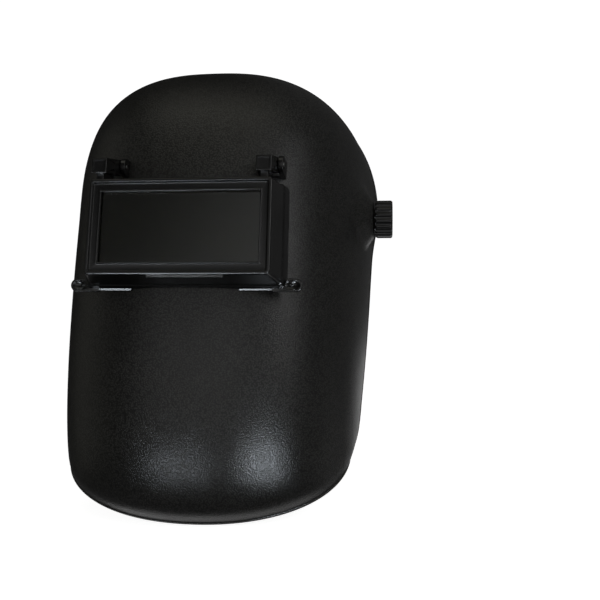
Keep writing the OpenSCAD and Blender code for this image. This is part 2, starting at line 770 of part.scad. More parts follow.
shell();
lens_frame();
frame_push_nuts();
clear_plate();
clear_plate_spring();
hinge_bracket(1);  // hinge_bracket_left
hinge_bracket(-1);  // hinge_bracket_right
bracket_screws();
hinge_pin(1);  // hinge_pin_left
hinge_pin(-1);  // hinge_pin_right
hinge_leaf(1);  // hinge_leaf_left
hinge_leaf(-1);  // hinge_leaf_right
flip_cover();
cover_plate();
filter_plate();
filter_spring();
tilt_washer_outer();
tilt_knob();
tilt_cap();
tilt_stud(1);  // tilt_stud_left
tilt_stud(-1);  // tilt_stud_right
tilt_washer_inner(1);  // tilt_washer_inner_left
tilt_washer_inner(-1);  // tilt_washer_inner_right
side_arm(1);  // side_arm_left
side_arm(-1);  // side_arm_right
headband();
sweatband();
band_rivets();
slider_rivets();
crown_strap(1);  // crown_strap_left
crown_strap(-1);  // crown_strap_right
nape_band();
nape_pad();
ratchet_case();
ratchet_spring();
ratchet_knob();
ratchet_pinion();
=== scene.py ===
import math

import bmesh
import bpy
import numpy as np
from mathutils import Matrix, Vector
from mathutils.bvhtree import BVHTree


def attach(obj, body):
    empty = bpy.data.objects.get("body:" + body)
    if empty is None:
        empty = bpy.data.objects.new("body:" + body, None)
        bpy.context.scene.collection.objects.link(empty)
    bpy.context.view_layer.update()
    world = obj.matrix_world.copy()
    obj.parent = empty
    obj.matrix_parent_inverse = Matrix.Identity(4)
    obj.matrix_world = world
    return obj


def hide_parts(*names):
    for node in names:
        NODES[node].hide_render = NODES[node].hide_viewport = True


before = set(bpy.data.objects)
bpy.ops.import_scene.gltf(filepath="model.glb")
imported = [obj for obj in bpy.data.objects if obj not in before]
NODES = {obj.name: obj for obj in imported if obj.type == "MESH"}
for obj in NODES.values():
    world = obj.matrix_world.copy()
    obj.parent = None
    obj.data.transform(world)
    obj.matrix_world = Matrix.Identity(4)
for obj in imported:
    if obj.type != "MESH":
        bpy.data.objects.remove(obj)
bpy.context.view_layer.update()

MM = 0.001

# ---------------------------------------------------------------------------------------------
# Camera, light and floor
# ---------------------------------------------------------------------------------------------
CAM_YAW = math.radians(7.2)
CAM_PITCH = math.radians(0.3)
CAM_ROLL = math.radians(0.12)
CAM_AIM = Vector((68.3, -60.0, -60.8)) * MM
CAM_DIST = 0.574
CAM_LENS = 49.68


def direction(az, el):
    """Unit vector seen from the object: az from the front towards +X, el upwards, in degrees."""
    a, e = math.radians(az), math.radians(el)
    return Vector((math.sin(a) * math.cos(e), -math.cos(a) * math.cos(e), math.sin(e)))


def make_camera():
    cam = bpy.data.cameras.new("camera")
    cam.sensor_width = 36.0
    cam.lens = CAM_LENS
    cam.clip_start = 0.01
    cam.clip_end = 50.0
    back = direction(math.degrees(CAM_YAW), math.degrees(CAM_PITCH))
    right = Vector((math.cos(CAM_YAW), math.sin(CAM_YAW), 0.0))
    up = back.cross(right)
    r = right * math.cos(CAM_ROLL) + up * math.sin(CAM_ROLL)
    u = up * math.cos(CAM_ROLL) - right * math.sin(CAM_ROLL)
    obj = bpy.data.objects.new("camera", cam)
    place = CAM_AIM + back * CAM_DIST
    obj.matrix_world = Matrix((
        (r.x, u.x, back.x, place.x),
        (r.y, u.y, back.y, place.y),
        (r.z, u.z, back.z, place.z),
        (0.0, 0.0, 0.0, 1.0)))
    bpy.context.scene.collection.objects.link(obj)
    bpy.context.scene.camera = obj


LIGHT_AIM = Vector((0.0, -60.0, -50.0)) * MM


def soft_light(name, az, el, dist, size, size_y, power, colour=(1.0, 1.0, 1.0)):
    """A rectangular light seen from the helmet at az, el; metres and watts."""
    data = bpy.data.lights.new(name, "AREA")
    data.shape = "RECTANGLE"
    data.size = size
    data.size_y = size_y
    data.energy = power
    data.color = colour
    obj = bpy.data.objects.new(name, data)
    way = direction(az, el)
    obj.location = LIGHT_AIM + way * dist
    obj.rotation_euler = way.to_track_quat("Z", "Y").to_euler()
    bpy.context.scene.collection.objects.link(obj)


GLOW_WAY = (0.85, 0.0, -0.5)
GLOW_START, GLOW_END = -0.49, -0.27
GLOW_LOW, GLOW_HIGH = 0.06, 0.30
FRONT_START, FRONT_END = -0.92, -0.45
REAR_SHARE = 0.26


def make_world():
    """A dim sky, darkest at the upper left seen from the front, that fades away from the front."""
    world = bpy.data.worlds.new("studio")
    world.use_nodes = True
    nt = world.node_tree
    nt.nodes.clear()
    out = nt.nodes.new("ShaderNodeOutputWorld")
    bg = nt.nodes.new("ShaderNodeBackground")
    geo = nt.nodes.new("ShaderNodeTexCoord")
    low_right = nt.nodes.new("ShaderNodeVectorMath")
    low_right.operation = "DOT_PRODUCT"
    low_right.inputs[1].default_value = GLOW_WAY
    ramp = nt.nodes.new("ShaderNodeMapRange")
    ramp.interpolation_type = "SMOOTHSTEP"
    ramp.inputs["From Min"].default_value = GLOW_START
    ramp.inputs["From Max"].default_value = GLOW_END
    ramp.inputs["To Min"].default_value = GLOW_LOW
    ramp.inputs["To Max"].default_value = GLOW_HIGH
    sides = nt.nodes.new("ShaderNodeSeparateXYZ")
    front = nt.nodes.new("ShaderNodeMapRange")
    front.inputs["From Min"].default_value = FRONT_START
    front.inputs["From Max"].default_value = FRONT_END
    front.inputs["To Min"].default_value = 1.0
    front.inputs["To Max"].default_value = REAR_SHARE
    both = nt.nodes.new("ShaderNodeMath")
    both.operation = "MULTIPLY"
    bg.inputs["Color"].default_value = (1.0, 1.0, 1.0, 1.0)
    nt.links.new(geo.outputs["Generated"], low_right.inputs[0])
    nt.links.new(low_right.outputs["Value"], ramp.inputs["Value"])
    nt.links.new(geo.outputs["Generated"], sides.inputs["Vector"])
    nt.links.new(sides.outputs["Y"], front.inputs["Value"])
    nt.links.new(ramp.outputs["Result"], both.inputs[0])
    nt.links.new(front.outputs["Result"], both.inputs[1])
    nt.links.new(both.outputs["Value"], bg.inputs["Strength"])
    nt.links.new(bg.outputs["Background"], out.inputs["Surface"])
    bpy.context.scene.world = world


FLOOR_Z = -0.2105
FLOOR_RINGS = (0.4, 0.8, 1.4, 2.0)
COVE_R = 1.2
COVE_STEPS = 12
BACKDROP_TOP = 4.0
FLOOR_GLOW = 0.93


def make_stage():
    """A pale floor that curves up into a backdrop on every side."""
    segs = 96
    flat_r = FLOOR_RINGS[-1]
    rings = [(r, FLOOR_Z) for r in FLOOR_RINGS]
    for i in range(1, COVE_STEPS + 1):
        a = math.radians(90 * i / COVE_STEPS)
        rings.append((flat_r + COVE_R * math.sin(a), FLOOR_Z + COVE_R * (1 - math.cos(a))))
    rings.append((flat_r + COVE_R, BACKDROP_TOP))
    bm = bmesh.new()
    centre = bm.verts.new((0.0, 0.0, FLOOR_Z))
    turns = [2 * math.pi * k / segs for k in range(segs)]
    loops = [[bm.verts.new((r * math.cos(a), r * math.sin(a), z)) for a in turns] for r, z in rings]
    for k in range(segs):
        bm.faces.new((centre, loops[0][k], loops[0][(k + 1) % segs]))
    for a, b in zip(loops, loops[1:]):
        for k in range(segs):
            bm.faces.new((a[k], b[k], b[(k + 1) % segs], a[(k + 1) % segs]))
    mesh = bpy.data.meshes.new("floor")
    bm.to_mesh(mesh)
    bm.free()
    for p in mesh.polygons:
        p.use_smooth = True
    obj = bpy.data.objects.new("floor", mesh)
    bpy.context.scene.collection.objects.link(obj)
    mat = bpy.data.materials.new("floor_white")
    mat.use_nodes = True
    b = mat.node_tree.nodes["Principled BSDF"]
    b.inputs["Base Color"].default_value = (0.85, 0.85, 0.85, 1.0)
    b.inputs["Roughness"].default_value = 0.9
    b.inputs["Specular IOR Level"].default_value = 0.0
    b.inputs["Emission Color"].default_value = (1.0, 1.0, 1.0, 1.0)
    b.inputs["Emission Strength"].default_value = FLOOR_GLOW
    mesh.materials.append(mat)
    obj.visible_glossy = False
    obj.visible_diffuse = False
    obj.visible_transmission = False


make_camera()
make_world()
make_stage()
bpy.context.scene.view_settings.view_transform = "Standard"

soft_light("chin_left", -18, -30, 1.2, 0.36, 0.13, 6.2, (0.84, 0.92, 1.0))
soft_light("chin_right", 38, -29, 1.2, 0.50, 0.20, 12.5, (0.84, 0.92, 1.0))
soft_light("cheek_strip", 58, 22, 1.6, 0.30, 1.0, 3.4)
soft_light("front_fill", -6, 7, 2.4, 2.6, 1.0, 4.4)
soft_light("crown_fill", -10, 74, 2.0, 2.2, 1.2, 4.2, (1.0, 0.985, 0.86))
soft_light("left_fill", -88, 8, 1.6, 1.4, 2.2, 1.5, (1.0, 0.99, 0.88))
soft_light("right_low", 108, -20, 1.5, 0.9, 0.9, 0.4)
soft_light("rear_fill", 180, -34, 2.2, 2.4, 2.4, 15.0)

# ---------------------------------------------------------------------------------------------
# Materials
# ---------------------------------------------------------------------------------------------


class Nodes:
    """Short way to build a node tree."""

    def __init__(self, name):
        self.mat = bpy.data.materials.new(name)
        self.mat.use_nodes = True
        self.nt = self.mat.node_tree
        self.bsdf = self.nt.nodes["Principled BSDF"]
        self.coord = None

    def add(self, kind, props=None, **inputs):
        n = self.nt.nodes.new(kind)
        for k, v in (props or {}).items():
            setattr(n, k, v)
        for k, v in inputs.items():
            sock = n.inputs[k.replace("_", " ")]
            if isinstance(v, bpy.types.NodeSocket):
                self.nt.links.new(v, sock)
            else:
                sock.default_value = v
        return n

    def object_space(self):
        if self.coord is None:
            self.coord = self.add("ShaderNodeTexCoord").outputs["Object"]
        return self.coord

    def noise(self, scale, detail=3.0, vector=None):
        return self.add("ShaderNodeTexNoise", Vector=vector or self.object_space(), Scale=scale,
                        Detail=detail, Roughness=0.55).outputs["Fac"]

    def ramp(self, fac, stops):
        n = self.add("ShaderNodeValToRGB", Fac=fac)
        el = n.color_ramp.elements
        while len(el) < len(stops):
            el.new(0.5)
        for e, (pos, col) in zip(el, stops):
            e.position = pos
            e.color = (*col, 1.0) if len(col) == 3 else col
        return n.outputs["Color"]

    def span(self, fac, a, b, lo=0.0, hi=1.0):
        return self.add("ShaderNodeMapRange", Value=fac, From_Min=lo, From_Max=hi,
                        To_Min=a, To_Max=b).outputs["Result"]

    def math(self, op, a, b):
        n = self.add("ShaderNodeMath", {"operation": op})
        for i, v in enumerate((a, b)):
            if isinstance(v, bpy.types.NodeSocket):
                self.nt.links.new(v, n.inputs[i])
            else:
                n.inputs[i].default_value = v
        return n.outputs["Value"]

    def mix(self, fac, a, b):
        n = self.add("ShaderNodeMix", {"data_type": "RGBA"})
        for sock, v in ((n.inputs[0], fac), (n.inputs[6], a), (n.inputs[7], b)):
            if isinstance(v, bpy.types.NodeSocket):
                self.nt.links.new(v, sock)
            else:
                sock.default_value = v
        return n.outputs[2]

    def bump(self, height, strength, distance, normal=None):
        n = self.add("ShaderNodeBump", Height=height, Strength=strength, Distance=distance)
        if normal is not None:
            self.nt.links.new(normal, n.inputs["Normal"])
        return n.outputs["Normal"]

    def set(self, **inputs):
        for k, v in inputs.items():
            sock = self.bsdf.inputs[k.replace("_", " ")]
            if isinstance(v, bpy.types.NodeSocket):
                self.nt.links.new(v, sock)
            else:
                sock.default_value = v
        return self.mat


def edge_wear(n, amount):
    """How worn each spot is: sharp outer edges, broken up by noise."""
    point = n.add("ShaderNodeNewGeometry").outputs["Pointiness"]
    edge = n.span(point, 0.0, 1.0, 0.52, 0.62)
    breakup = n.noise(180.0, 4.0)
    return n.math("MULTIPLY", n.math("MULTIPLY", edge, breakup), amount)


def mat_shell():
    """Pebbled black plastic: rounded cells, with painted shade darkening the valleys between them to near
    black.
    """
    n = Nodes("shell_pebble")
    warp = n.add("ShaderNodeTexNoise", Vector=n.object_space(), Scale=300.0, Detail=2.0).outputs["Color"]
    shift = n.add("ShaderNodeVectorMath", {"operation": "SCALE"})
    n.nt.links.new(warp, shift.inputs[0])
    shift.inputs["Scale"].default_value = 0.00045
    moved = n.add("ShaderNodeVectorMath", {"operation": "ADD"})
    n.nt.links.new(n.object_space(), moved.inputs[0])
    n.nt.links.new(shift.outputs["Vector"], moved.inputs[1])
    cells = n.add("ShaderNodeTexVoronoi", {"feature": "SMOOTH_F1"}, Vector=moved.outputs["Vector"],
                  Scale=950.0, Smoothness=0.25, Randomness=1.0).outputs["Distance"]
    pebble = n.span(cells, 1.0, 0.0, 0.05, 0.75)
    fine = n.noise(2600.0, 2.0)
    bumpy = n.bump(pebble, 0.65, 0.00015)
    bumpy = n.bump(fine, 0.2, 0.00005, bumpy)
    patch = n.noise(26.0, 4.0)
    tone = n.ramp(patch, [(0.3, (0.0330, 0.0330, 0.0306)), (0.75, (0.0500, 0.0500, 0.0464))])
    # painted shade: the base colour falls to near black in the valleys between the pebble cells; the edge
    # wear below is laid over this painted shade
    colour = n.mix(n.span(pebble, 0.95, 0.0, 0.12, 0.78), tone, (0.0040, 0.0040, 0.0037, 1.0))
    worn = n.mix(edge_wear(n, 0.35), colour, (0.06, 0.06, 0.062, 1.0))
    rough = n.span(n.noise(60.0, 3.0), 0.35, 0.43)
    return n.set(Base_Color=worn, Roughness=rough, Normal=bumpy, Specular_IOR_Level=0.5)


def mat_plastic(name, lo, hi, rough_lo, rough_hi, grain=0.08, wear=0.3):
    n = Nodes(name)
    colour = n.ramp(n.noise(45.0, 4.0), [(0.3, lo), (0.75, hi)])
    worn = n.mix(edge_wear(n, wear), colour, (0.10, 0.10, 0.105, 1.0))
    rough = n.span(n.noise(120.0, 4.0), rough_lo, rough_hi)
    bumpy = n.bump(n.noise(900.0, 3.0), grain, 0.00008)
    bumpy = n.bump(n.noise(70.0, 2.0), 0.06, 0.0002, bumpy)
    return n.set(Base_Color=worn, Roughness=rough, Normal=bumpy)


def mat_steel():
    n = Nodes("steel_plated")
    stretch = n.add("ShaderNodeMapping", Vector=n.object_space(),
                    Scale=(60.0, 60.0, 1400.0)).outputs["Vector"]
    lines = n.noise(1.0, 3.0, vector=stretch)
    rough = n.span(lines, 0.22, 0.42)
    colour = n.ramp(n.noise(90.0, 3.0), [(0.3, (0.42, 0.43, 0.44)), (0.7, (0.60, 0.61, 0.62))])
    return n.set(Base_Color=colour, Metallic=1.0, Roughness=rough, Normal=n.bump(lines, 0.08, 0.00005))


def mat_clear():
    n = Nodes("clear_glass")
    tint = n.ramp(n.noise(14.0, 2.0), [(0.35, (0.94, 0.955, 0.93)), (0.7, (0.96, 0.97, 0.95))])
    return n.set(Base_Color=tint, Roughness=0.0, Transmission_Weight=1.0, IOR=1.5)


def mat_filter():
    n = Nodes("dark_filter_glass")
    colour = n.ramp(n.noise(14.0, 2.0), [(0.35, (0.0086, 0.0090, 0.0040)), (0.7, (0.0116, 0.0120, 0.0056))])
    rough = n.span(n.noise(40.0, 3.0), 0.06, 0.12)
    return n.set(Base_Color=colour, Roughness=rough, IOR=1.5)


def mat_fibre():
    n = Nodes("fibre_washer")
    grain = n.noise(1400.0, 4.0)
    colour = n.ramp(grain, [(0.3, (0.016, 0.014, 0.012)), (0.75, (0.034, 0.030, 0.026))])
    return n.set(Base_Color=colour, Roughness=0.85, Normal=n.bump(grain, 0.3, 0.0001))


def mat_fabric(name, lo, hi):
    n = Nodes(name)
    a = n.add("ShaderNodeTexWave", {"wave_type": "BANDS", "bands_direction": "DIAGONAL"},
              Vector=n.object_space(), Scale=420.0, Distortion=1.2, Detail=1.0).outputs["Fac"]
    b = n.add("ShaderNodeTexWave", {"wave_type": "BANDS", "bands_direction": "Z"}, Vector=n.object_space(),
              Scale=420.0, Distortion=1.0, Detail=1.0).outputs["Fac"]
    weave = n.math("MAXIMUM", a, b)
    fuzz = n.noise(2200.0, 3.0)
    height = n.math("ADD", weave, n.math("MULTIPLY", fuzz, 0.5))
    colour = n.ramp(n.math("MULTIPLY", weave, n.noise(55.0, 3.0)), [(0.15, lo), (0.6, hi)])
    return n.set(Base_Color=colour, Roughness=0.9, Sheen_Weight=0.25, Sheen_Roughness=0.5,
                 Normal=n.bump(height, 0.4, 0.00018))


M_SHELL = mat_shell()
M_BOX = mat_plastic("cover_plastic", (0.0060, 0.0060, 0.0059), (0.0110, 0.0110, 0.0108), 0.16, 0.28)
M_HOLDER = mat_plastic("holder_plastic", (0.0120, 0.0120, 0.0125), (0.0190, 0.0190, 0.0195), 0.34, 0.48)
M_KNOB = mat_plastic("knob_plastic", (0.0080, 0.0080, 0.0084), (0.0140, 0.0140, 0.0144), 0.16, 0.28,
                     wear=0.9)
M_STRAP = mat_plastic("strap_plastic", (0.022, 0.022, 0.024), (0.034, 0.034, 0.036), 0.42, 0.58, 0.15, 0.2)
M_STEEL = mat_steel()
M_CLEAR = mat_clear()
M_FILTER = mat_filter()
M_FIBRE = mat_fibre()
M_PAD = mat_fabric("pad_cloth", (0.020, 0.020, 0.022), (0.060, 0.060, 0.064))

NODE_LOOKS = {
    "lens_frame": (M_HOLDER, 0.45), "frame_push_nuts": (M_STEEL, 0.12),
    "clear_plate": (M_CLEAR, 0.12), "clear_plate_spring": (M_STEEL, 0.0),
    "hinge_bracket_left": (M_BOX, 0.3), "hinge_bracket_right": (M_BOX, 0.3),
    "bracket_screws": (M_STEEL, 0.25), "hinge_pin_left": (M_STEEL, 0.2), "hinge_pin_right": (M_STEEL, 0.2),
    "hinge_leaf_left": (M_STEEL, 0.08), "hinge_leaf_right": (M_STEEL, 0.08),
    "flip_cover": (M_BOX, 0.4), "cover_plate": (M_CLEAR, 0.12), "filter_plate": (M_FILTER, 0.15),
    "filter_spring": (M_STEEL, 0.0),
    "tilt_washer_outer": (M_FIBRE, 0.15), "tilt_washer_inner_left": (M_FIBRE, 0.15),
    "tilt_washer_inner_right": (M_FIBRE, 0.15),
    "tilt_knob": (M_KNOB, 0.4), "tilt_cap": (M_KNOB, 0.3),
    "tilt_stud_left": (M_STEEL, 0.2), "tilt_stud_right": (M_STEEL, 0.2),
    "side_arm_left": (M_STRAP, 0.4), "side_arm_right": (M_STRAP, 0.4),
    "headband": (M_STRAP, 0.3), "band_rivets": (M_STEEL, 0.25), "slider_rivets": (M_STEEL, 0.25),
    "crown_strap_left": (M_STRAP, 0.3), "crown_strap_right": (M_STRAP, 0.3),
    "nape_band": (M_STRAP, 0.3), "ratchet_case": (M_KNOB, 0.5), "ratchet_spring": (M_STEEL, 0.1),
    "ratchet_knob": (M_KNOB, 0.5), "ratchet_pinion": (M_STEEL, 0.1),
    "shell": (M_SHELL, 0.0), "sweatband": (M_PAD, 0.0), "nape_pad": (M_PAD, 0.0),
}


def dress_nodes():
    """Material, welded seams and small rounded edges on every CAD node that stays visible."""
    for name, (mat, round_mm) in NODE_LOOKS.items():
        obj = NODES[name]
        obj.data.materials.clear()
        obj.data.materials.append(mat)
        obj.data.polygons.foreach_set("use_smooth", np.ones(len(obj.data.polygons), bool))
        if "custom_normal" in obj.data.attributes:
            obj.data.attributes.remove(obj.data.attributes["custom_normal"])
        weld = obj.modifiers.new("weld", "WELD")
        weld.merge_threshold = 0.00001
        if round_mm > 0:
            bevel = obj.modifiers.new("round", "BEVEL")
            bevel.limit_method = "ANGLE"
            bevel.angle_limit = math.radians(32)
            bevel.width = round_mm * MM
            bevel.segments = 2
            bevel.use_clamp_overlap = False
            bevel.miter_outer = "MITER_ARC"
        normals = obj.modifiers.new("normals", "WEIGHTED_NORMAL")
        normals.keep_sharp = False
        normals.weight = 60


dress_nodes()

# ---------------------------------------------------------------------------------------------
# Shell
# ---------------------------------------------------------------------------------------------
MID_LINE = ((-93.5, -210), (-111.5, -194), (-120, -162), (-119.5, -113), (-111.5, -51),
            (-97, 16), (-71.5, 73), (-30, 106), (29, 107))
SIDE_RIM = ((-42, -172), (-21, -156.5), (-2, -131), (15, -100), (29.5, -70),
            (40.5, -44.5), (47.5, -26), (50, -12), (49, 2))
HALF_WIDTH = (102, 106.5, 108.5, 110.5, 112, 113, 114, 116, 118.5)
SQUARENESS = (2.12, 2.27, 2.45, 2.5, 2.5, 2.5, 2.65, 2.6, 2.35)
WALL = 2.2


def curve(rows, s):
    """Smooth curve through a list of rows, s from 0 to 1 (array)."""
    p = np.array(rows, float)
    if p.ndim == 1:
        p = p[:, None]
    p = np.vstack([2 * p[0] - p[1], p, 2 * p[-1] - p[-2]])
    x = np.clip(s, 0, 1) * (len(rows) - 1)
    i = np.minimum(np.floor(x).astype(int), len(rows) - 2)
    f = (x - i)[:, None]
    a, b, c, d = p[i], p[i + 1], p[i + 2], p[i + 3]
    return 0.5 * (2 * b + (c - a) * f + (2 * a - 5 * b + 4 * c - d) * f * f
                  + (3 * b - a - 3 * c + d) * f ** 3)


def section(u, n=1601):
    """One dense cross-section of the shell's face, from the right rim to the left rim."""
    u = np.array([u])
    p, r = curve(MID_LINE, u)[0], curve(SIDE_RIM, u)[0]
    w, e = curve(HALF_WIDTH, u)[0, 0], 2 / curve(SQUARENESS, u)[0, 0]
    t = np.linspace(-1, 1, n)
    t = np.sign(t) * (1 - (1 - np.abs(t)) ** 1.6) * 0.5 * math.pi
    k = 1 - np.abs(np.cos(t)) ** e
    x = w * np.sign(t) * np.abs(np.sin(t)) ** e
    return np.stack([x, p[0] + (r[0] - p[0]) * k, p[1] + (r[1] - p[1]) * k], 1)


def spaced(length, near, step):
    """Distances along an edge: the listed near values at both ends and about step between."""
    n = max(2, int(round((length - 2 * near[-1]) / step)))
    mid = np.linspace(near[-1], length - near[-1], n + 1)[1:-1]
    return np.concatenate([near, mid, [length - d for d in reversed(near)]])


EDGE_STEPS = (1.0, 1.5, 2.0, 2.5, 3.0, 3.4, 3.8, 4.4, 5.4, 7.0)
GRID_STEP = 2.4
MEAN_GIRTH = 370.0


def shell_face():
    """Grid of points on the shell's outer face, its normals, and each point's distance to the edge."""
    us = np.linspace(0, 1, 1201)
    mid = curve(MID_LINE, us)
    run = np.concatenate([[0], np.cumsum(np.linalg.norm(np.diff(mid, axis=0), axis=1))])
    rows_d = spaced(run[-1], EDGE_STEPS, GRID_STEP)
    rows_u = np.interp(rows_d, run, us)
    frac = spaced(MEAN_GIRTH, EDGE_STEPS, GRID_STEP)
    cols = len(frac)
    grid = []
    for u in rows_u:
        s = section(u)
        arc = np.concatenate([[0], np.cumsum(np.linalg.norm(np.diff(s, axis=0), axis=1))])
        d = frac.copy()
        m = len(EDGE_STEPS)
        d[:m] = EDGE_STEPS
        d[-m:] = arc[-1] - np.array(EDGE_STEPS[::-1])
        inner = frac[m - 1:cols - m + 1]
        share = (inner - inner[0]) / (inner[-1] - inner[0])
        d[m - 1:cols - m + 1] = EDGE_STEPS[-1] + share * (arc[-1] - 2 * EDGE_STEPS[-1])
        grid.append(np.stack([np.interp(d, arc, s[:, k]) for k in range(3)], 1))
    g = np.array(grid)
    du = np.gradient(g, axis=0)
    dt = np.gradient(g, axis=1)
    n = np.cross(dt, du)
    n /= np.linalg.norm(n, axis=2, keepdims=True)
    du /= np.linalg.norm(du, axis=2, keepdims=True)
    dt /= np.linalg.norm(dt, axis=2, keepdims=True)
    rows = np.minimum(rows_d, run[-1] - rows_d)[:, None]
    step = np.linalg.norm(np.diff(g, axis=1), axis=2)
    along = np.concatenate([np.zeros((len(g), 1)), np.cumsum(step, axis=1)], 1) + EDGE_STEPS[0]
    cols_d = np.minimum(along, along[:, -1:] - along + EDGE_STEPS[0])
    return g, n, du, dt, np.minimum(rows, cols_d)


def closed_sheet(name, outer, inner, out_du, out_dt, thick):
    """A sheet between two grids, its edge rounded over."""
    nu, nv = outer.shape[:2]
    pts = [outer.reshape(-1, 3), inner.reshape(-1, 3)]
    faces = []

    def idx(layer, i, j):
        return layer * nu * nv + i * nv + j

    for i in range(nu - 1):
        for j in range(nv - 1):
            faces.append((idx(0, i, j), idx(0, i, j + 1), idx(0, i + 1, j + 1), idx(0, i + 1, j)))
            faces.append((idx(1, i, j), idx(1, i + 1, j), idx(1, i + 1, j + 1), idx(1, i, j + 1)))
    loop = [(0, j) for j in range(nv)] + [(i, nv - 1) for i in range(1, nu)] \
        + [(nu - 1, j) for j in range(nv - 2, -1, -1)] + [(i, 0) for i in range(nu - 2, 0, -1)]
    away = []
    for i, j in loop:
        v = np.zeros(3)
        if i == 0:
            v -= out_du[i, j]
        if i == nu - 1:
            v += out_du[i, j]
        if j == 0:
            v -= out_dt[i, j]
        if j == nv - 1:
            v += out_dt[i, j]
        away.append(v / np.linalg.norm(v))
    ring_a = [idx(0, i, j) for i, j in loop]
    ring_b = [idx(1, i, j) for i, j in loop]
    rings = [ring_a]
    start = 2 * nu * nv
    steps = 5
    for k in range(1, steps):
        a = math.pi * k / steps
        ring = []
        for (i, j), v in zip(loop, away):
            mid = (outer[i, j] + inner[i, j]) / 2
            half = (outer[i, j] - inner[i, j]) / 2
            pts.append((mid + half * math.cos(a) + v * thick / 2 * math.sin(a))[None])
            ring.append(start)
            start += 1
        rings.append(ring)
    rings.append(ring_b)
    for a, b in zip(rings, rings[1:]):
        for k in range(len(loop)):
            m = (k + 1) % len(loop)
            faces.append((a[k], b[k], b[m], a[m]))
    mesh = bpy.data.meshes.new(name)
    mesh.from_pydata((np.vstack(pts) * MM).tolist(), [], faces)
    mesh.validate()
    return mesh


def add_object(name, mesh, mat=None):
    obj = bpy.data.objects.new(name, mesh)
    bpy.context.scene.collection.objects.link(obj)
    if mat is not None:
        mesh.materials.append(mat)
    return obj


TURNS = 72


def lathe_x(bm, profile):
    """Solid of revolution about the X axis through profile points (x, r); r 0 ends close it."""
    rings = []
    for x, r in profile:
        if r <= 0:
            rings.append([bm.verts.new((x * MM, 0.0, 0.0))])
        else:
            turns = [2 * math.pi * k / TURNS for k in range(TURNS)]
            rings.append([bm.verts.new((x * MM, r * math.cos(a) * MM, r * math.sin(a) * MM))
                          for a in turns])
    for a, b in zip(rings, rings[1:]):
        for k in range(TURNS):
            m = (k + 1) % TURNS
            if len(a) == 1:
                bm.faces.new((a[0], b[m], b[k]))
            elif len(b) == 1:
                bm.faces.new((a[k], a[m], b[0]))
            else:
                bm.faces.new((a[k], a[m], b[m], b[k]))


def bm_object(name, bm):
    bmesh.ops.recalc_face_normals(bm, faces=bm.faces[:])
    mesh = bpy.data.meshes.new(name)
    bm.to_mesh(mesh)
    bm.free()
    return add_object(name, mesh)


def boolean(obj, cutter, operation):
    mod = obj.modifiers.new("bool", "BOOLEAN")
    mod.operation = operation
    mod.solver = "EXACT"
    mod.object = cutter
    apply_modifiers(obj)
    bpy.data.objects.remove(cutter)


def apply_modifiers(obj):
    bpy.context.view_layer.update()
    dg = bpy.context.evaluated_depsgraph_get()
    mesh = bpy.data.meshes.new_from_object(obj.evaluated_get(dg))
    old = obj.data
    obj.modifiers.clear()
    obj.data = mesh
    bpy.data.meshes.remove(old)


def smooth(obj, angle):
    obj.data.polygons.foreach_set("use_smooth", np.ones(len(obj.data.polygons), bool))
    obj.data.set_sharp_from_angle(angle=math.radians(angle))


BOX_MIDDLE = Vector((0.0, -128.5, -14.3)) * MM
BOX_LEAN = -9.5
BOX_PLACE = Matrix.Translation(BOX_MIDDLE) @ Matrix.Rotation(math.radians(BOX_LEAN), 4, "X")


def box_in_frame(bm, x0, x1, y0, y1, z0, z1):
    """A block in the lens box's leaning frame."""
    corners = [BOX_PLACE @ Vector((x * MM, y * MM, z * MM))
               for x in (x0, x1) for y in (y0, y1) for z in (z0, z1)]
    v = [bm.verts.new(c) for c in corners]
    for f in ((0, 1, 3, 2), (4, 6, 7, 5), (0, 4, 5, 1), (2, 3, 7, 6), (0, 2, 6, 4), (1, 5, 7, 3)):
        bm.faces.new([v[i] for i in f])


# The swelling under the knob
SWELL_TOP_X = 117.2
SWELL_TOP_R = 13.6
SWELL_FOOT_X = 103.5
SWELL_FOOT_R = 31.0
SWELL_BLEND = 2.4
SWELL_RIM_BLEND_SQ = 0.15


def swell(points):
    """Raises the shell's face under the knob to a flat top with sloping sides, blended into the face."""
    x, r = points[..., 0], np.hypot(points[..., 1], points[..., 2])
    slope = (SWELL_TOP_X - SWELL_FOOT_X) / (SWELL_FOOT_R - SWELL_TOP_R)
    cone = SWELL_TOP_X - slope * (r - SWELL_TOP_R)
    under = SWELL_TOP_X - cone
    cone = SWELL_TOP_X - 0.5 * (under + np.sqrt(under ** 2 + SWELL_RIM_BLEND_SQ))
    joined = 0.5 * (x + cone + np.sqrt((x - cone) ** 2 + SWELL_BLEND ** 2))
    near = (points[..., 0] > 90) & (r < 45)
    raised = points.copy()
    raised[..., 0] = np.where(near & (joined - x > 0.02), np.minimum(joined, SWELL_TOP_X), x)
    return raised


# The flat pads inside the shell round its two pivots
PAD_R = 15.5
PAD_INNER_X = 104.2
PAD_OUTER_X = 113.2
PAD_SUNK = 0.8
PAD_REACH = 160
PAD_RINGS = (5.0, 10.0, 13.0, PAD_R)


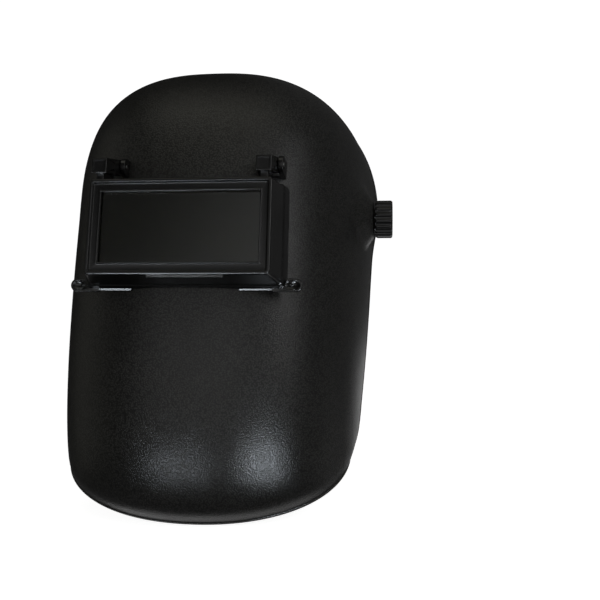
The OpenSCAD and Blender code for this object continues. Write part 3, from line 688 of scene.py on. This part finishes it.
def pad_on_wall(bm, face):
    """The flat pad behind the right pivot: its outer end is buried in the wall all round."""
    cols = face.shape[1]
    corners = [(i * cols + j, i * cols + j + 1, (i + 1) * cols + j + 1, (i + 1) * cols + j)
               for i in range(face.shape[0] - 1) for j in range(cols - 1)]
    tree = BVHTree.FromPolygons([Vector(p) for p in face.reshape(-1, 3)], corners)

    def wall_x(y, z):
        return tree.ray_cast(Vector((-PAD_REACH, y, z)), Vector((1, 0, 0)))[0].x + PAD_SUNK

    turns = [(math.cos(2 * math.pi * k / TURNS), math.sin(2 * math.pi * k / TURNS)) for k in range(TURNS)]
    middle = bm.verts.new((wall_x(0, 0) * MM, 0, 0))
    rings = [[bm.verts.new((wall_x(r * c, r * s) * MM, r * c * MM, r * s * MM)) for c, s in turns]
             for r in PAD_RINGS]
    rings.append([bm.verts.new((-PAD_INNER_X * MM, PAD_R * c * MM, PAD_R * s * MM)) for c, s in turns])
    for k in range(TURNS):
        m = (k + 1) % TURNS
        bm.faces.new((middle, rings[0][k], rings[0][m]))
        for a, b in zip(rings, rings[1:]):
            bm.faces.new((a[k], b[k], b[m], a[m]))
    bm.faces.new(rings[-1])


FRAME_PIN_R = 1.6
FRAME_PIN_X = 22
FRAME_PIN_Z = 33.2
FRAME_PIN_SIDES = 24


def frame_pin(bm, x, z, y0, y1):
    """One of the pins inside the shell that the lens frame hangs on."""
    turns = [2 * math.pi * k / FRAME_PIN_SIDES for k in range(FRAME_PIN_SIDES)]
    around = [(x + FRAME_PIN_R * math.cos(a), z + FRAME_PIN_R * math.sin(a)) for a in turns]
    ends = [[bm.verts.new(BOX_PLACE @ Vector((px * MM, y * MM, pz * MM))) for px, pz in around]
            for y in (y0, y1)]
    for k in range(FRAME_PIN_SIDES):
        m = (k + 1) % FRAME_PIN_SIDES
        bm.faces.new((ends[0][k], ends[0][m], ends[1][m], ends[1][k]))
    for end in ends:
        bm.faces.new(end)


# The bead round the shell's edge: its height, width and the width of its slope
BEAD_H = 0.5
BEAD_W = 2.9
BEAD_SLOPE = 0.7
# Openings in the shell: the lens box's block, the stud bores and the right cap's recess
WINDOW = (-57.4, 57.4, 5, 60, -28.9, 28.9)
BORE_R = 3.08
BORE_X = (95, 125)
RECESS_X = 107
RECESS_R = (10.3, 10.6)


def make_shell():
    g, n, du, dt, edge = shell_face()
    fade = np.clip((edge - BEAD_W) / BEAD_SLOPE, 0, 1)
    lip = BEAD_H * (1 - fade ** 2 * (3 - 2 * fade))
    outer = swell(g + n * lip[..., None])
    inner = g - n * WALL
    mesh = closed_sheet("shell_skin", outer, inner, du, dt, WALL)
    obj = add_object("shell_skin", mesh, M_SHELL)
    bm = bmesh.new()
    lathe_x(bm, [(PAD_INNER_X, 0), (PAD_INNER_X, PAD_R), (PAD_OUTER_X, PAD_R), (PAD_OUTER_X, 0)])
    pad_on_wall(bm, g)
    for side in (-1, 1):
        frame_pin(bm, side * FRAME_PIN_X, FRAME_PIN_Z, 28, 34.6)
        frame_pin(bm, side * FRAME_PIN_X, -FRAME_PIN_Z, 24.8, 31.2)
    bosses = bm_object("bosses", bm)
    boolean(obj, bosses, "UNION")
    bm = bmesh.new()
    box_in_frame(bm, *WINDOW)
    near, far = BORE_X
    lathe_x(bm, [(-far, 0), (-far, RECESS_R[1]), (-RECESS_X, RECESS_R[0]), (-RECESS_X, BORE_R),
                 (-near, BORE_R), (-near, 0)])
    lathe_x(bm, [(near, 0), (near, BORE_R), (far, BORE_R), (far, 0)])
    cutter = bm_object("cutter", bm)
    boolean(obj, cutter, "DIFFERENCE")
    smooth(obj, 38)
    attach(obj, "shell")
    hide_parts("shell")


make_shell()


# ---------------------------------------------------------------------------------------------
# Padded pieces
# ---------------------------------------------------------------------------------------------
HEADGEAR_SLOPE = Matrix.Rotation(math.radians(-10), 4, "X")
CLOTH_FRAMES = 20
PAD_PRESSURE = 3.0


def run_cloth(obj, pins, pressure, cap):
    """Inflates a closed pad a little, holding the pinned points and capping the movement."""
    start = np.array([v.co for v in obj.data.vertices])
    group = obj.vertex_groups.new(name="pin")
    group.add(pins, 1.0, "REPLACE")
    cloth = obj.modifiers.new("cloth", "CLOTH")
    s = cloth.settings
    s.quality = 5
    s.mass = 0.2
    s.tension_stiffness = 12
    s.compression_stiffness = 12
    s.shear_stiffness = 6
    s.bending_stiffness = 0.5
    s.use_pressure = True
    s.uniform_pressure_force = pressure
    s.vertex_group_mass = "pin"
    s.pin_stiffness = 1.0
    s.effector_weights.gravity = 0.0
    cloth.collision_settings.use_collision = False
    cloth.collision_settings.use_self_collision = False
    cloth.point_cache.frame_start = 1
    cloth.point_cache.frame_end = CLOTH_FRAMES
    scene = bpy.context.scene
    for f in range(1, CLOTH_FRAMES + 1):
        scene.frame_set(f)
    dg = bpy.context.evaluated_depsgraph_get()
    ev = obj.evaluated_get(dg)
    end = np.array([v.co for v in ev.data.vertices])
    obj.modifiers.clear()
    obj.vertex_groups.clear()
    scene.frame_set(1)
    move = end - start
    size = np.linalg.norm(move, axis=1, keepdims=True)
    move *= np.minimum(1.0, cap / np.maximum(size, 1e-9))
    obj.data.vertices.foreach_set("co", (start + move).ravel())
    obj.data.update()


def arc_pad(name, centre_y, r_back, ang0, ang1, z0, z1, thick, channels, cap):
    """A quilted pad inside a band: a flat back on the band, a face pinched at its sewn channels."""
    na, nz = 78, 20
    back, face, seam = [], [], []
    span = ang1 - ang0
    for i in range(na + 1):
        fi = i / na
        near = min(abs(fi - c) for c in channels) * na
        for j in range(nz + 1):
            fj = j / nz
            cx = 1 - (2 * abs(fi - 0.5)) ** 14
            cz = 1 - (2 * abs(fj - 0.5)) ** 6
            body = max(cx, 0.0) ** 0.5 * max(cz, 0.0) ** 0.5
            pinch = 0.45 if near < 0.6 else 0.8 if near < 1.6 else 1.0
            z = z0 + (z1 - z0) * (0.5 + (fj - 0.5) * (0.94 + 0.06 * cx))
            ang = math.radians(ang0 + span * fi)
            for store, depth in ((back, 0.0), (face, thick * 0.72 * body * pinch)):
                r = r_back - depth
                p = HEADGEAR_SLOPE @ Vector((r * math.cos(ang), centre_y + r * math.sin(ang), z))
                store.append(p * MM)
            seam.append(near < 0.6)
    m = nz + 1
    count = len(back)
    edge = [k for k in range(count) if k % m in (0, nz) or k // m in (0, na)]
    bm = bmesh.new()
    vb = [bm.verts.new(p) for p in back]
    edge_set = set(edge)
    vf = [vb[k] if k in edge_set else bm.verts.new(p) for k, p in enumerate(face)]
    for i in range(na):
        for j in range(nz):
            q = (i * m + j, i * m + j + 1, (i + 1) * m + j + 1, (i + 1) * m + j)
            bm.faces.new([vb[k] for k in q])
            bm.faces.new([vf[k] for k in reversed(q)])
    bmesh.ops.recalc_face_normals(bm, faces=bm.faces[:])
    bm.verts.index_update()
    pins = [v.index for v in vb] + [vf[k].index for k in range(count) if seam[k] and k not in edge_set]
    mesh = bpy.data.meshes.new(name)
    bm.to_mesh(mesh)
    bm.free()
    obj = add_object(name, mesh, M_PAD)
    run_cloth(obj, sorted(set(pins)), PAD_PRESSURE, cap * MM)
    sub = obj.modifiers.new("sub", "SUBSURF")
    sub.levels = 1
    sub.render_levels = 1
    apply_modifiers(obj)
    smooth(obj, 80)
    return obj


def make_pads():
    brow = arc_pad("brow_pad", -4.0, 77.6, -144.5, -35.5, 7.4, 36.6, 5.0,
                   [k / 6 for k in range(1, 6)], 1.6)
    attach(brow, "headgear")
    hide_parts("sweatband")
    nape = arc_pad("nape_cushion", 28.0, 75.7, 64.5, 115.5, -10.7, 8.7, 4.0, [0.25, 0.5, 0.75], 1.2)
    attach(nape, "nape")
    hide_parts("nape_pad")


make_pads()
